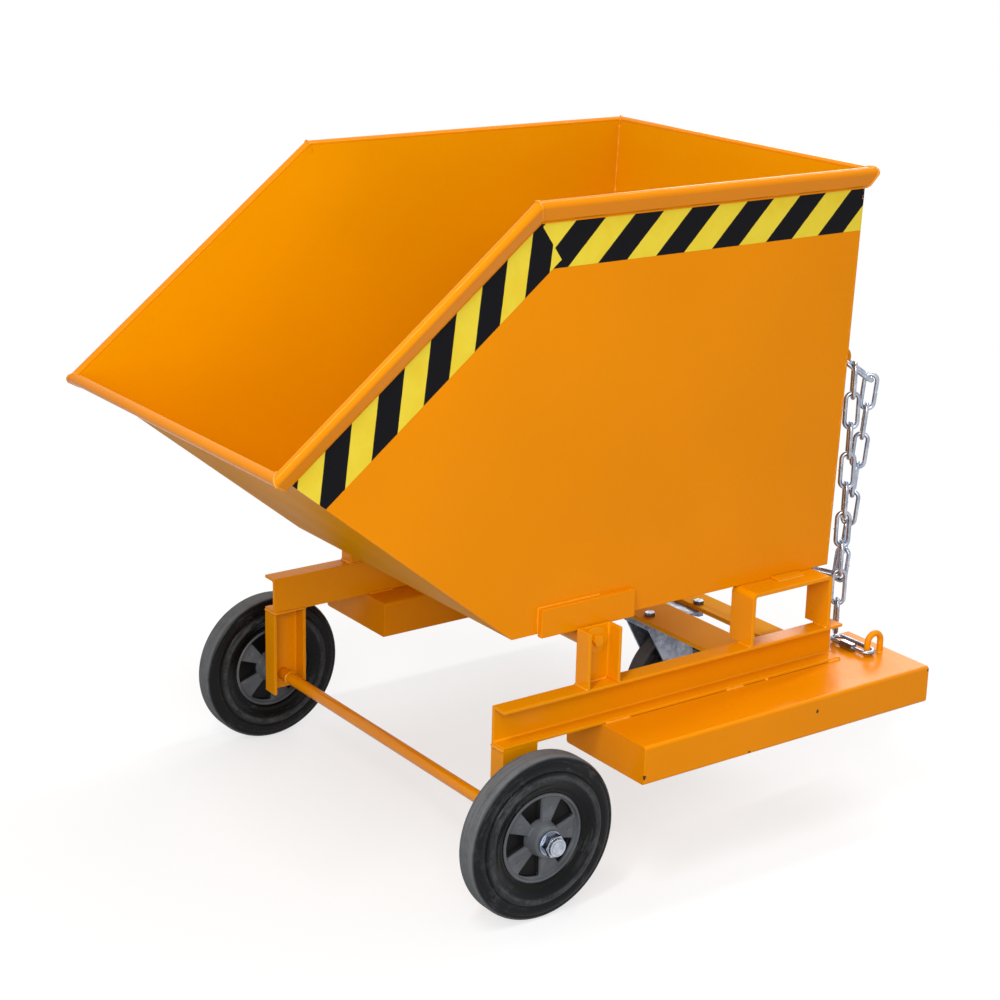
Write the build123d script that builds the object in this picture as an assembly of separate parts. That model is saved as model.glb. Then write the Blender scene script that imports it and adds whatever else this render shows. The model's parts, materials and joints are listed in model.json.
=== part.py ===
from build123d import *

import math
import os

# Tipping box trolley: a welded channel frame on two fixed wheels and one swivel
# castor carries a sheet-steel box that tips forward over its lip. Two pockets
# under the frame take fork tines. A safety chain hangs behind the box.
# X runs from the lip (-X) to the rear (+X), Y across, Z up. The origin is on the
# ground below the middle of the overall length and width. Left is -Y.
# All sizes are in millimetres and degrees.

# Box
box_width = 588.0
box_height = 620.4
floor_length = 611.5
lip_reach = 380.8
lip_rise = 305.4
knee_setback = 20.5
rear_lean = 2.0
sheet = 3.0
rim_width = 12.6
rim_depth = 27.3
rim_nose_radius = 8.0
rim_pitch = 31.8
rim_toe = 5.0
rim_toe_rise = 3.3
rim_bend_radius = 2.0
tape_rim_gap = 2.0
tape_depth = 92.0
tape_thickness = 0.3
tape_edge_gap = 0.5
tape_tail = 18.0
handle_diameter = 27.0
handle_wall = 2.6
handle_length = 470.0
handle_standoff = 38.0
handle_drop = 50.3
handle_lug_spacing = 400.0
handle_lug_thickness = 6.0

# Frame
deck_height = 243.5
channel_height = 60.0
channel_flange = 30.0
channel_wall = 5.0
channel_root_radius = 3.0
rail_lead = 40.5
rail_tail = 1.0
leg_below_axle = 25.0
rest_height = 85.6
rest_gap = 0.3
rest_bar_width = 50.0
rest_bar_thickness = 6.5
rest_span = 164.5
rest_from_rail_end = 28.0
rest_bend_radius = 9.0
guide_length = 56.0
guide_width = 16.0
guide_height = 4.0
guide_from_rest_end = 38.0

# Fork pockets
pocket_width = 183.0
pocket_height = 60.0
pocket_wall = 4.0
pocket_front_offset = 138.0
pocket_tail = 99.5
pocket_inset = 55.5
pocket_outer_radius = 5.0
pocket_inner_radius = 3.0

# Tipping pivot
pivot_offset = 137.0
pivot_shaft_diameter = 25.0
pivot_tube_diameter = 34.0
pivot_plate_length = 170.0
pivot_plate_lead = 92.0
pivot_plate_height = 43.0
pivot_plate_thickness = 10.0
pivot_plate_drop = 4.0
pivot_washer_diameter = 40.0
pivot_washer_thickness = 4.0
pivot_bolt_diameter = 10.0
pivot_bolt_length = 24.0
side_gap = 2.0

# Front wheels
wheel_diameter = 250.0
tyre_width = 45.0
rim_seat_diameter = 138.0
hub_overhang = 7.0
hub_diameter = 50.0
bush_wall = 4.0
axle_diameter = 20.0
axle_spacer_length = 14.5
axle_spacer_wall = 5.0
axle_washer_diameter = 37.0
axle_washer_thickness = 3.0
axle_nut_flats = 30.0
axle_nut_height = 13.0
axle_nut_collar_diameter = 27.0
axle_nut_collar_height = 5.0

# Wheel details shared by the front wheels and the castor
spoke_count = 5
spoke_half_angle = 20.5
rim_band = 8.0
rim_web = 14.0
rim_recess = 7.0
window_margin = 5.0
window_radius = 4.0
# Tyre wall from the rim seat to the tread: part of the wall's height, and depth below the bead in mm
tyre_wall_profile = [
    (0.0, 7.0),
    (0.16, 5.8),
    (0.27, 3.0),
    (0.37, 0.6),
    (0.46, 0.0),
    (0.56, 0.6),
    (0.65, 2.2),
    (0.695, 3.5),
    (0.71, 2.6),
    (0.74, 3.1),
    (0.86, 3.6),
    (0.92, 4.4),
    (0.965, 6.0),
    (0.99, 8.5),
    (1.0, 12.0),
]

# Castor
castor_wheel_gap = 12.1
castor_tyre_width = 40.0
castor_rim_seat_ratio = 0.62
castor_hub_overhang = 5.0
castor_hub_diameter = 40.0
castor_axle_diameter = 12.0
castor_trail = 44.0
castor_plate_length = 135.0
castor_plate_width = 110.0
castor_plate_thickness = 5.0
castor_plate_radius = 10.0
castor_hole_spacing_x = 105.0
castor_hole_spacing_y = 80.0
castor_bolt_diameter = 10.0
castor_from_rail_end = 92.5
fork_wall = 4.0
fork_side_gap = 2.0
fork_boss_radius = 22.0
crown_thickness = 6.0
crown_front = 48.0
crown_rear = 40.0
raceway_radius = 38.0
raceway_height = 12.0
bar_thickness = 7.0
front_bar_width = 80.0
front_bar_edge = 19.5
rear_bar_width = 50.0
rear_bar_edge = 10.5

# Safety chain and its fittings
chain_wire = 7.0
link_pitch = 49.0
link_width = 27.0
strand_links = 9
loop_links = 7
chain_turn = 54.0
eye_wire = 10.0
eye_span = 28.0
eye_height = 38.5
eye_from_floor = 64.5
eye_offset = 3.0
quick_link_length = 90.0
quick_link_width = 29.0
quick_link_play = 1.0
sleeve_length = 26.0
sleeve_flats = 13.0
strand_lift = 1.0
hook_wire = 8.0
hook_length = 68.0
hook_width = 40.0
hook_tilt = 35.0
hook_hold = 6.0
gate_length = 24.0
gate_hinge_gap = 1.6
gate_tip_gap = 0.8
panel_eye_wire = 8.0
panel_eye_span = 26.0
panel_eye_reach = 0.5
panel_eye_spacing = 80.0
panel_eye_shift = 2.5

# Clearances and fastener proportions
seat_gap = 0.05
loose_gap = 0.3
cut_spare = 1.0
hex_flats_ratio = 1.6
head_ratio = 0.65
nut_ratio = 0.8

# Derived places
handle_radius = handle_diameter / 2
half_box = box_width / 2
half_inner = half_box - sheet
axle_height = wheel_diameter / 2
rail_top = deck_height + channel_height
rest_top = rail_top + rest_height
floor_z = rest_top + rest_gap
rim_z = floor_z + box_height
rim_slope = math.atan2(box_height - lip_rise, lip_reach + knee_setback)
rim_rise = math.radians(rim_pitch)
nose_out = rim_width - rim_nose_radius
nose_drop = (rim_nose_radius - (nose_out + sheet) * math.sin(rim_rise)) / math.cos(rim_rise)
lip_overhang = nose_out * math.cos(rim_slope) - nose_drop * math.sin(rim_slope) + rim_nose_radius
overall_length = lip_reach + lip_overhang + floor_length + pocket_tail
floor_front = lip_reach + lip_overhang - overall_length / 2
floor_rear = floor_front + floor_length
lip_x = floor_front - lip_reach
lip_z = floor_z + lip_rise
knee_x = floor_front + knee_setback
rail_inner = half_box + pivot_plate_thickness + side_gap
rail_outer = rail_inner + channel_flange
rail_front = floor_front - rail_lead
rail_rear = floor_rear + rail_tail
axle_x = rail_front + channel_height / 2
pivot_x = floor_front + pivot_offset
pivot_z = floor_z - pivot_plate_drop - pivot_tube_diameter / 2
pocket_front = floor_front + pocket_front_offset
pocket_rear = floor_rear + pocket_tail
pocket_mid_y = rail_inner - pocket_inset + pocket_width / 2
castor_x = rail_rear - castor_from_rail_end
race_bottom = deck_height - castor_plate_thickness - raceway_height
king_head_top = race_bottom - crown_thickness - 2 * loose_gap
king_head_bottom = king_head_top - head_ratio * castor_axle_diameter
castor_radius = (king_head_bottom - castor_wheel_gap) / 2
hub_width = tyre_width + 2 * hub_overhang
wheel_y = rail_outer + axle_spacer_length + hub_width / 2
axle_nut_start = wheel_y + hub_width / 2 + loose_gap + axle_washer_thickness
axle_end = axle_nut_start + axle_nut_height + axle_nut_collar_height
nodes = {}


def panel_x(z):
    """Outer face of the leaning rear panel at a height."""
    return floor_rear + (z - floor_z) * math.tan(math.radians(rear_lean))


def block(x0, x1, y0, y1, z0, z1):
    """Box between two corners."""
    return Pos((x0 + x1) / 2, (y0 + y1) / 2, (z0 + z1) / 2) * Box(x1 - x0, y1 - y0, z1 - z0)


def rod(start, end, radius):
    """Solid round bar between two points."""
    axis = Vector(end) - Vector(start)
    return extrude(Plane(origin=start, z_dir=axis) * Circle(radius), amount=axis.length)


def rod_y(x, z, radius, y0, y1):
    """Round bar along Y."""
    return rod((x, y0, z), (x, y1, z), radius)


def hex_bar(start, end, flats):
    """Hexagon bar along Y or Z, with two corners on its X line."""
    axis = Vector(end) - Vector(start)
    profile = RegularPolygon(flats / math.sqrt(3), 6)
    return extrude(Plane(origin=start, x_dir=(1, 0, 0), z_dir=axis) * profile, amount=axis.length)


def side_prism(points, y0, y1):
    """Solid with an outline in X and Z, between two Y planes."""
    outline = make_face(Polyline([(x, y0, z) for x, z in points], close=True))
    return extrude(outline, amount=y1 - y0, dir=(0, 1, 0))


def turned(points):
    """Solid of revolution about Y from (radius, y) points."""
    return revolve(make_face(Polyline(points, close=True)), Axis.Y)


def ring_y(outer_radius, bore_radius, y0, y1):
    """Plain ring about Y."""
    return turned([(bore_radius, y0), (outer_radius, y0), (outer_radius, y1), (bore_radius, y1)])


def channel(length):
    """Channel along X: back of the web on y = 0, open towards +Y, bottom on z = 0."""
    reach = channel_flange - channel_wall
    outer = Pos(channel_flange / 2, channel_height / 2) * Rectangle(channel_flange, channel_height)
    hollow = Pos(channel_wall + reach, channel_height / 2) * RectangleRounded(
        2 * reach, channel_height - 2 * channel_wall, channel_root_radius
    )
    return extrude(Plane.YZ * (outer - hollow), amount=length)


def wire_along(path, wire):
    """Round wire along a path."""
    return sweep(Plane(origin=path @ 0, z_dir=path % 0) * Circle(wire / 2), path=path)


def staple(leg_start, reach, gap, wire):
    """U of round wire: the first leg starts at a point and the second lies a gap away."""
    start = Vector(leg_start)
    bend_start = start + reach
    bend_end = bend_start + gap
    tip = (bend_start + bend_end) * 0.5 + reach.normalized() * (gap.length / 2)
    bend = ThreePointArc(bend_start, tip, bend_end)
    path = Wire([Line(start, bend_start), bend, Line(bend_end, start + gap)])
    return wire_along(path, wire)


def oval(length, width, wire, centre, long_axis, wide_axis):
    """Closed wire oval, sized outside, turned to its two axes."""
    path = Wire(SlotOverall(length - wire, width - wire).face().outer_wire().edges())
    place = Plane(origin=centre, x_dir=long_axis, z_dir=long_axis.cross(wide_axis))
    return place * wire_along(path, wire)


def chain_link(centre, long_axis, wide_axis):
    """One link of the chain."""
    return oval(link_pitch + 2 * chain_wire, link_width, chain_wire, centre, long_axis, wide_axis)


def both_sides(name, right):
    """Keeps a piece of the right side and its mirror image."""
    nodes[name + "_right"] = right
    nodes[name + "_left"] = mirror(right, about=Plane.XZ)


def pair(piece):
    """A piece of the right side and its mirror image in one group."""
    return [piece, mirror(piece, about=Plane.XZ)]


def make_frame():
    """Rails, legs, pivot posts and axle."""
    rail = Pos(rail_front, rail_inner, deck_height) * channel(rail_rear - rail_front)
    both_sides("rail", rail)

    leg_bottom = axle_height - leg_below_axle
    leg = Pos(rail_front, -rail_outer, deck_height) * Rot(0, 90, 0) * channel(deck_height - leg_bottom)
    leg -= rod_y(axle_x, axle_height, axle_diameter / 2 + seat_gap, -rail_outer, -rail_inner)
    both_sides("leg", mirror(leg, about=Plane.XZ))

    post_front = pivot_x - channel_height / 2
    post = Pos(post_front, rail_inner, floor_z) * Rot(0, 90, 0) * channel(floor_z - rail_top)
    post -= rod_y(pivot_x, pivot_z, pivot_shaft_diameter / 2 + seat_gap, rail_inner, rail_outer)
    both_sides("pivot_post", post)

    nodes["axle_rod"] = rod_y(axle_x, axle_height, axle_diameter / 2, -axle_end, axle_end)


def make_rests():
    """Bent bars that the box rests on, with a side guide on each."""
    front = rail_rear - rest_from_rail_end - rest_span
    rear = front + rest_span
    inner = rail_outer - rest_bar_width

    def arch(inset, bottom, radius, y0, y1):
        outline = [
            (front + inset, bottom),
            (front + inset, rest_top - inset),
            (rear - inset, rest_top - inset),
            (rear - inset, bottom),
        ]
        piece = side_prism(outline, y0, y1)
        return fillet(piece.edges().filter_by(Axis.Y).group_by(Axis.Z)[-1], radius)

    outer = arch(0, rail_top, rest_bend_radius, inner, rail_outer)
    hollow_radius = rest_bend_radius - rest_bar_thickness
    hollow = arch(
        rest_bar_thickness, rail_top - cut_spare, hollow_radius, inner - cut_spare, rail_outer + cut_spare
    )
    both_sides("rest_bridge", outer - hollow)

    guide_rear = rear - guide_from_rest_end
    guide_inner = half_box + side_gap
    guide = block(
        guide_rear - guide_length,
        guide_rear,
        guide_inner,
        guide_inner + guide_width,
        rest_top,
        rest_top + guide_height,
    )
    nodes["box_guides"] = Compound(pair(guide))


def make_pockets():
    """Rectangular tubes for fork tines, closed at the front."""
    middle = Pos(pocket_mid_y, deck_height - pocket_height / 2)
    section = middle * RectangleRounded(pocket_width, pocket_height, pocket_outer_radius)
    hollow = middle * RectangleRounded(
        pocket_width - 2 * pocket_wall, pocket_height - 2 * pocket_wall, pocket_inner_radius
    )
    pocket_length = pocket_rear - pocket_front
    pocket = extrude(Plane.YZ.offset(pocket_front) * section, amount=pocket_length)
    pocket -= extrude(Plane.YZ.offset(pocket_front + pocket_wall) * hollow, amount=pocket_length)
    both_sides("fork_pocket", pocket)


def make_pivot():
    """Fixed shaft between the posts, and the tube and plates on the box that turn on it."""
    shaft_radius = pivot_shaft_diameter / 2
    shaft_end = rail_inner + channel_wall
    bolt_radius = pivot_bolt_diameter / 2
    bolt_tip = shaft_end - pivot_bolt_length
    washer_face = shaft_end + pivot_washer_thickness
    head_face = washer_face + head_ratio * pivot_bolt_diameter
    at_pivot = Pos(pivot_x, 0, pivot_z)

    bore = rod_y(pivot_x, pivot_z, bolt_radius + seat_gap, bolt_tip, shaft_end)
    shaft = rod_y(pivot_x, pivot_z, shaft_radius, -shaft_end, shaft_end)
    nodes["pivot_shaft"] = shaft - bore - mirror(bore, about=Plane.XZ)
    washer = at_pivot * ring_y(pivot_washer_diameter / 2, bolt_radius + seat_gap, shaft_end, washer_face)
    bolt = rod_y(pivot_x, pivot_z, bolt_radius, bolt_tip, washer_face)
    bolt += hex_bar(
        (pivot_x, washer_face, pivot_z), (pivot_x, head_face, pivot_z), hex_flats_ratio * pivot_bolt_diameter
    )
    nodes["pivot_fasteners"] = Compound(pair(washer) + pair(bolt))

    plate_outer = half_box + pivot_plate_thickness
    nodes["pivot_tube"] = at_pivot * ring_y(
        pivot_tube_diameter / 2, shaft_radius + seat_gap, -plate_outer, plate_outer
    )
    plate_front = pivot_x - pivot_plate_lead
    plate_bottom = floor_z - pivot_plate_drop
    plate = block(
        plate_front,
        plate_front + pivot_plate_length,
        half_box,
        plate_outer,
        plate_bottom,
        plate_bottom + pivot_plate_height,
    )
    both_sides("pivot_plate", plate)


def box_outline():
    """Outer faces of the box in X and Z: lip, floor front, floor rear, rear top."""
    lip = Vector(lip_x, lip_z)
    front = Vector(floor_front, floor_z)
    rear = Vector(floor_rear, floor_z)
    return lip, front, rear, Vector(panel_x(rim_z), rim_z)


def inner_corner(before, corner, after):
    """Corner of the inside faces, one sheet thickness in from the outside."""
    toward = (before - corner).normalized()
    onward = (after - corner).normalized()
    half_angle = math.radians(toward.get_angle(onward)) / 2
    return corner + (toward + onward).normalized() * (sheet / math.sin(half_angle))


def rim_corners():
    """Upper outer corners of the panels, round the box from the left end of the lip."""
    left = [
        Vector(lip_x, -half_box, lip_z),
        Vector(knee_x, -half_box, rim_z),
        Vector(panel_x(rim_z), -half_box, rim_z),
    ]
    right = [Vector(corner.X, half_box, corner.Z) for corner in reversed(left)]
    return left + right


def meet(start, along, other, across):
    """Point where two lines in a plane cross, each given by a point and a direction."""
    gap = other - start
    turn = along.X * across.Y - along.Y * across.X
    return start + along * ((gap.X * across.Y - gap.Y * across.X) / turn)


def touching(point, centre, radius, side):
    """Direction of the line from a point that touches a circle, on one side of its centre."""
    gap = centre - point
    angle = math.atan2(gap.Y, gap.X) + side * math.asin(radius / gap.length)
    return Vector(math.cos(angle), math.sin(angle))


def rim_section(lean):
    """Rolled rim over the edge of a panel: outward is X, up is Y, the panel's outer edge is the origin."""
    inward = Vector(sheet * math.hypot(1, lean), 0)
    panel_up = Vector(lean, 1)
    edge = Vector(0, 0) - inward
    toe = Vector(rim_toe, rim_toe_rise - rim_depth)
    centre = Vector(nose_out, -nose_drop)
    flange = touching(edge, centre, rim_nose_radius, 1)
    skirt = touching(toe, centre, rim_nose_radius, -1)
    nose = meet(edge, flange, toe, skirt)
    foot = meet(toe, Vector(rim_toe, rim_toe_rise), edge, panel_up)
    whole = make_face(Polyline([edge, nose, toe, foot], close=True))
    whole = fillet(whole.vertices().sort_by(Axis.X)[-1], rim_nose_radius)
    cover = edge - panel_up * sheet
    panel = make_face(Polyline([cover, cover + inward, foot + inward, foot], close=True))
    strip = whole - offset(whole, -sheet) - panel
    return fillet(strip.vertices().sort_by_distance(edge)[0], rim_bend_radius)


def make_rim():
    """Six mitred lengths of rolled rim."""
    names = ["rim_slope_left", "rim_top_left", "rim_rear", "rim_top_right", "rim_slope_right", "rim_lip"]
    corners = rim_corners()
    count = len(corners)
    runs = [(corners[(i + 1) % count] - corners[i]).normalized() for i in range(count)]
    level = Vector(0, 0, 1)
    sloped = Vector(-runs[0].Z, 0, runs[0].X)
    ups = [sloped, level, level, level, sloped, sloped]
    plate = Vector(-lip_reach, 0, lip_rise)
    lip_lean = -plate.dot(runs[0]) / plate.dot(sloped)
    leans = [0, 0, math.tan(math.radians(rear_lean)), 0, 0, lip_lean]
    for i, name in enumerate(names):
        start = corners[i]
        end = corners[(i + 1) % count]
        frame = Plane(origin=(start + end) / 2, x_dir=runs[i].cross(ups[i]), z_dir=-runs[i])
        reach = (end - start).length / 2 + rim_depth
        bar = extrude(frame * rim_section(leans[i]), amount=reach, both=True)
        first = Plane(origin=start, z_dir=runs[i - 1] + runs[i])
        last = Plane(origin=end, z_dir=runs[i] + runs[(i + 1) % count])
        bar = split(bar, bisect_by=first, keep=Keep.TOP)
        nodes[name] = split(bar, bisect_by=last, keep=Keep.BOTTOM)


def make_box():
    """Five sheets of the box, with their upper edges one sheet below the top of the rim."""
    lip, front, rear, rear_top = box_outline()
    knee = Vector(knee_x, rim_z)
    front_in = inner_corner(lip, front, rear)
    rear_in = inner_corner(front, rear, rear_top)
    up_slope = (lip - front).normalized()
    lip_in = lip + Vector(up_slope.Y, -up_slope.X) * sheet
    rear_top_in = rear_top - Vector(sheet / math.cos(math.radians(rear_lean)), 0)
    along = (knee - lip).normalized()
    cover_front = lip + Vector(along.Y, -along.X) * sheet - along * rim_depth
    cover_rear = rear_top + Vector(rim_depth, -sheet)
    under_knee = inner_corner(lip, knee, rear_top)
    cover_top = [Vector(cover_rear.X, rim_z + sheet), Vector(cover_front.X, rim_z + sheet)]
    cover_points = [cover_front, under_knee, cover_rear] + cover_top
    cover = side_prism([(p.X, p.Y) for p in cover_points], -half_box, half_box)

    def plate(points, y0, y1):
        return side_prism([(p.X, p.Y) for p in points], y0, y1) - cover

    nodes["floor_plate"] = plate([front, rear, rear_in, front_in], -half_inner, half_inner)
    nodes["slope_plate"] = plate([front, front_in, lip_in, lip], -half_inner, half_inner)
    nodes["rear_panel"] = plate([rear, rear_top, rear_top_in, rear_in], -half_inner, half_inner)
    both_sides("side_panel", plate([front, rear, rear_top, knee, lip], half_inner, half_box))


def make_tape():
    """Hazard tape under the top rim and under the sloping rim, meeting below the knee."""
    lip, front, rear, rear_top = box_outline()
    knee = Vector(knee_x, rim_z)
    along = (knee - lip).normalized()
    down = Vector(along.Y, -along.X)
    hidden = rim_depth + tape_rim_gap
    top = rim_z - hidden
    bottom = rim_z - tape_depth
    up_slope = (lip - front).normalized()
    edge = front + Vector(up_slope.Y, -up_slope.X) * tape_edge_gap

    def on_strip(offset, height):
        """Point at a height on a line below the sloping rim."""
        base = lip + down * offset
        return base + along * ((height - base.Y) / along.Y)

    def on_slope(offset):
        """Point where a line below the sloping rim meets the lower edge of the side."""
        base = lip + down * offset
        gap = edge - base
        cross = along.X * up_slope.Y - along.Y * up_slope.X
        return base + along * ((gap.X * up_slope.Y - gap.Y * up_slope.X) / cross)

    upper_join = on_strip(hidden, top)
    lower_join = on_strip(tape_depth, bottom)
    tail_tip = lower_join + along * tape_tail
    rear_top_edge = Vector(panel_x(top) - tape_edge_gap, top)
    rear_bottom_edge = Vector(panel_x(bottom) - tape_edge_gap, bottom)
    top_strip = [upper_join, rear_top_edge, rear_bottom_edge, lower_join, tail_tip]
    slope_strip = [upper_join, tail_tip, on_slope(tape_depth), on_slope(hidden)]
    outer = half_box + tape_thickness
    for name, strip in (("hazard_tape_top", top_strip), ("hazard_tape_slope", slope_strip)):
        both_sides(name, side_prism([(p.X, p.Y) for p in strip], half_box, outer))


def make_handle():
    """Push handle behind the rear panel, on two lugs."""
    z = rim_z - handle_drop
    x = panel_x(z) + handle_standoff
    half = handle_length / 2
    bar = rod_y(x, z, handle_radius, -half, half)
    nodes["push_handle"] = bar - rod_y(x, z, handle_radius - handle_wall, sheet - half, half - sheet)
    low = z - handle_radius
    high = z + handle_radius
    y0 = handle_lug_spacing / 2
    outline = [(panel_x(low), low), (x, low), (x, high), (panel_x(high), high)]
    lug = side_prism(outline, y0, y0 + handle_lug_thickness)
    nodes["handle_lugs"] = Compound(pair(lug - bar))


def tyre(radius, width, seat_radius):
    """Tyre about Y with a round bead on each wall and rounded shoulders."""
    wall = radius - seat_radius
    right = [(seat_radius + part * wall, width / 2 - depth) for part, depth in tyre_wall_profile]
    return turned(right + [(r, -y) for r, y in reversed(right)])


def spoked_rim(seat_radius, width, hub_radius, bore_radius, hub_length):
    """Rim about Y: band, hub and a web with a window between each two spokes."""
    half = width / 2 - rim_recess
    half_web = rim_web / 2
    inner = seat_radius - rim_band
    flare = rim_band / 2
    right = [
        (bore_radius, hub_length / 2),
        (hub_radius, hub_length / 2),
        (hub_radius + flare, half_web),
        (inner - flare, half_web),
        (inner, half - flare),
        (inner + flare, half),
        (seat_radius, half),
    ]
    rim = turned(right + [(r, -y) for r, y in reversed(right)])
    half_angle = math.radians(180 / spoke_count - spoke_half_angle)
    reach = 2 * seat_radius
    corner = (reach * math.cos(half_angle), reach * math.sin(half_angle))
    wedge = make_face(Polyline((0, 0), corner, (corner[0], -corner[1]), close=True))
    window = (Circle(inner - window_margin) - Circle(hub_radius + window_margin)) & wedge
    window = fillet(window.vertices(), window_radius)
    cutter = extrude(Plane.XZ.offset(-width) * window, amount=2 * width)
    for i in range(spoke_count):
        rim -= Rot(0, i * 360 / spoke_count, 0) * cutter
    return rim


def make_wheels():
    """Two front wheels on the axle."""
    bore = axle_diameter / 2 + seat_gap
    bush_radius = axle_diameter / 2 + bush_wall
    seat = rim_seat_diameter / 2
    half_hub = hub_width / 2
    place = Pos(axle_x, wheel_y, axle_height)
    both_sides("tyre", place * tyre(axle_height, tyre_width, seat))
    rim = spoked_rim(seat, tyre_width, hub_diameter / 2, bush_radius, hub_width)
    both_sides("wheel_rim", place * rim)
    both_sides("hub_bush", place * ring_y(bush_radius, bore, -half_hub, half_hub))

    at_axle = Pos(axle_x, 0, axle_height)
    spacer_radius = axle_diameter / 2 + axle_spacer_wall
    spacer = at_axle * ring_y(spacer_radius, bore, rail_outer, wheel_y - half_hub - loose_gap)
    nodes["axle_spacers"] = Compound(pair(spacer))
    washer_start = axle_nut_start - axle_washer_thickness
    collar_start = axle_nut_start + axle_nut_height
    washer = at_axle * ring_y(axle_washer_diameter / 2, bore, washer_start, axle_nut_start)
    nut = hex_bar((axle_x, axle_nut_start, axle_height), (axle_x, collar_start, axle_height), axle_nut_flats)
    nut += rod_y(axle_x, axle_height, axle_nut_collar_diameter / 2, collar_start, axle_end)
    nut -= rod_y(axle_x, axle_height, bore, axle_nut_start, axle_end)
    nodes["axle_fasteners"] = Compound(pair(washer) + pair(nut))


def make_castor_mounting():
    """Two cross bars, the castor plate under them, its bolts and the kingpin."""
    plate_bottom = deck_height - castor_plate_thickness
    bar_top = deck_height + bar_thickness
    front_hole = castor_x - castor_hole_spacing_x / 2
    rear_hole = castor_x + castor_hole_spacing_x / 2
    half_holes = castor_hole_spacing_y / 2
    bolt_radius = castor_bolt_diameter / 2
    flats = hex_flats_ratio * castor_bolt_diameter
    centres = [(x, y) for x in (front_hole, rear_hole) for y in (-half_holes, half_holes)]
    shanks = [rod((x, y, plate_bottom), (x, y, bar_top), bolt_radius + seat_gap) for x, y in centres]

    def drilled(piece):
        for shank in shanks:
            piece -= shank
        return piece

    front_edge = front_hole - front_bar_edge
    rear_edge = rear_hole - rear_bar_edge
    nodes["castor_bar_front"] = drilled(
        block(front_edge, front_edge + front_bar_width, -rail_inner, rail_inner, deck_height, bar_top)
    )
    nodes["castor_bar_rear"] = drilled(
        block(rear_edge, rear_edge + rear_bar_width, -rail_inner, rail_inner, deck_height, bar_top)
    )

    king_radius = castor_axle_diameter / 2
    outline = RectangleRounded(castor_plate_length, castor_plate_width, castor_plate_radius)
    plate = Pos(castor_x, 0, plate_bottom) * extrude(outline, amount=castor_plate_thickness)
    race = rod((castor_x, 0, race_bottom), (castor_x, 0, plate_bottom), raceway_radius)
    race = fillet(race.edges().group_by(Axis.Z)[0], raceway_height / 3)
    king_bore = rod((castor_x, 0, race_bottom), (castor_x, 0, deck_height), king_radius + seat_gap)
    nodes["castor_plate"] = drilled(plate) + race - king_bore

    nut_bottom = plate_bottom - nut_ratio * castor_bolt_diameter
    head_top = bar_top + head_ratio * castor_bolt_diameter
    fasteners = []
    for x, y in centres:
        bolt = rod((x, y, nut_bottom), (x, y, bar_top), bolt_radius)
        fasteners.append(bolt + hex_bar((x, y, bar_top), (x, y, head_top), flats))
        nut = hex_bar((x, y, nut_bottom), (x, y, plate_bottom), flats)
        fasteners.append(nut - rod((x, y, nut_bottom), (x, y, plate_bottom), bolt_radius + seat_gap))
    nodes["castor_bolts"] = Compound(fasteners)

    king = rod((castor_x, 0, king_head_top), (castor_x, 0, deck_height), king_radius)
    king_flats = hex_flats_ratio * castor_axle_diameter
    king += hex_bar((castor_x, 0, king_head_bottom), (castor_x, 0, king_head_top), king_flats)
    nodes["kingpin"] = king


def make_castor():
    """Castor fork that swivels on the kingpin, with its wheel."""
    crown_top = race_bottom - loose_gap
    crown_bottom = crown_top - crown_thickness
    hub = castor_tyre_width + 2 * castor_hub_overhang
    leg_inner = hub / 2 + fork_side_gap
    leg_outer = leg_inner + fork_wall
    wheel_x = castor_x + castor_trail
    axle_radius = castor_axle_diameter / 2
    front = castor_x - crown_front
    rear = castor_x + crown_rear
    outline = [
        (front, crown_top),
        (rear, crown_top),
        (wheel_x + fork_boss_radius, castor_radius),
        (wheel_x - fork_boss_radius, castor_radius),
    ]
    leg = side_prism(outline, leg_inner, leg_outer)
    leg += rod_y(wheel_x, castor_radius, fork_boss_radius, leg_inner, leg_outer)
    fork = block(front, rear, -leg_outer, leg_outer, crown_bottom, crown_top)
    fork = fork + leg + mirror(leg, about=Plane.XZ)
    fork -= rod((castor_x, 0, crown_bottom), (castor_x, 0, crown_top), axle_radius + seat_gap)
    fork -= rod_y(wheel_x, castor_radius, axle_radius + seat_gap, -leg_outer, leg_outer)
    nodes["castor_fork"] = fork

    flats = hex_flats_ratio * castor_axle_diameter
    head_face = -leg_outer - head_ratio * castor_axle_diameter
    nut_face = leg_outer + nut_ratio * castor_axle_diameter
    bolt = rod_y(wheel_x, castor_radius, axle_radius, -leg_outer, nut_face)
    bolt += hex_bar((wheel_x, -leg_outer, castor_radius), (wheel_x, head_face, castor_radius), flats)
    nut = hex_bar((wheel_x, leg_outer, castor_radius), (wheel_x, nut_face, castor_radius), flats)
    nut -= rod_y(wheel_x, castor_radius, axle_radius + seat_gap, leg_outer, nut_face)
    nodes["castor_axle_bolt"] = Compound([bolt, nut])

    seat = castor_rim_seat_ratio * castor_radius
    bush_radius = axle_radius + bush_wall
    place = Pos(wheel_x, 0, castor_radius)
    rim = spoked_rim(seat, castor_tyre_width, castor_hub_diameter / 2, bush_radius, hub)
    nodes["castor_tyre"] = place * tyre(castor_radius, castor_tyre_width, seat)
    nodes["castor_rim"] = place * rim
    nodes["castor_bush"] = place * ring_y(bush_radius, axle_radius + seat_gap, -hub / 2, hub / 2)


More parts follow.
